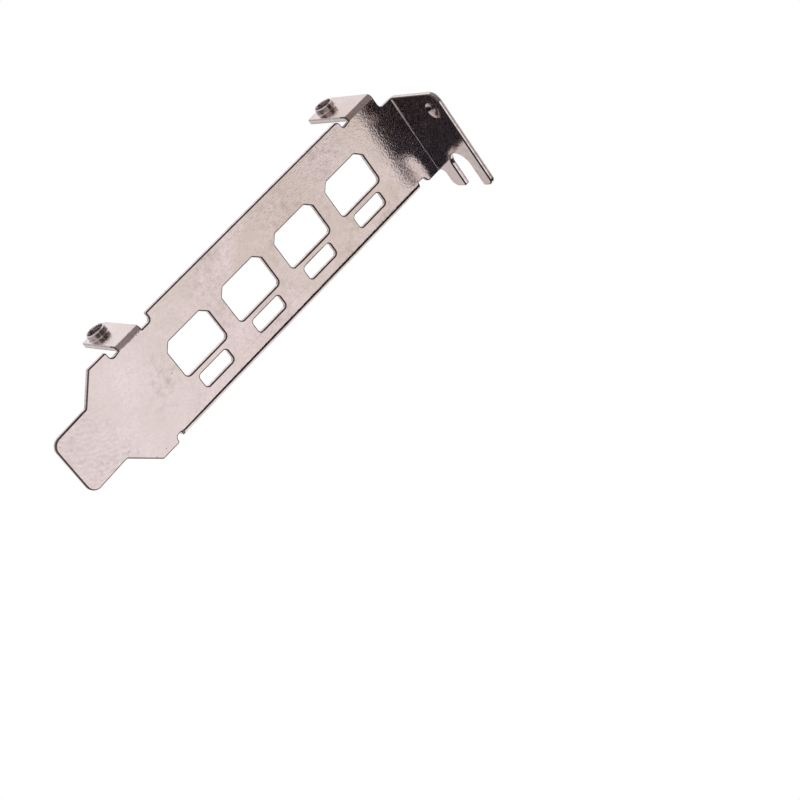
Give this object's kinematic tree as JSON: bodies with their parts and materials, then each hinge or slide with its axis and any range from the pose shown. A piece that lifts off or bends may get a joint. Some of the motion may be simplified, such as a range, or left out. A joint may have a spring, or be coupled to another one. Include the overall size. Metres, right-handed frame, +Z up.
{
  "type": "low profile expansion bracket",
  "caption": "Low profile bracket folded from plated sheet steel, with connector windows, a forked screw flange, tapped rear tabs and a leaning tongue.",
  "frame": {"origin": "middle of the screw slot's round end, on the flange's underside, where the flange sits on the chassis", "axes": "+Z up the plate from the tongue to the flange, -Y out of the chassis from the plate's front face, +X towards the slot's open end"},
  "size_m": [0.0221, 0.023, 0.0799],
  "materials": {
    "plated_steel": "satin nickel plate"
  },
  "bodies": {
    "root": {"bracket": "plated_steel"}
  },
  "joints": []
}
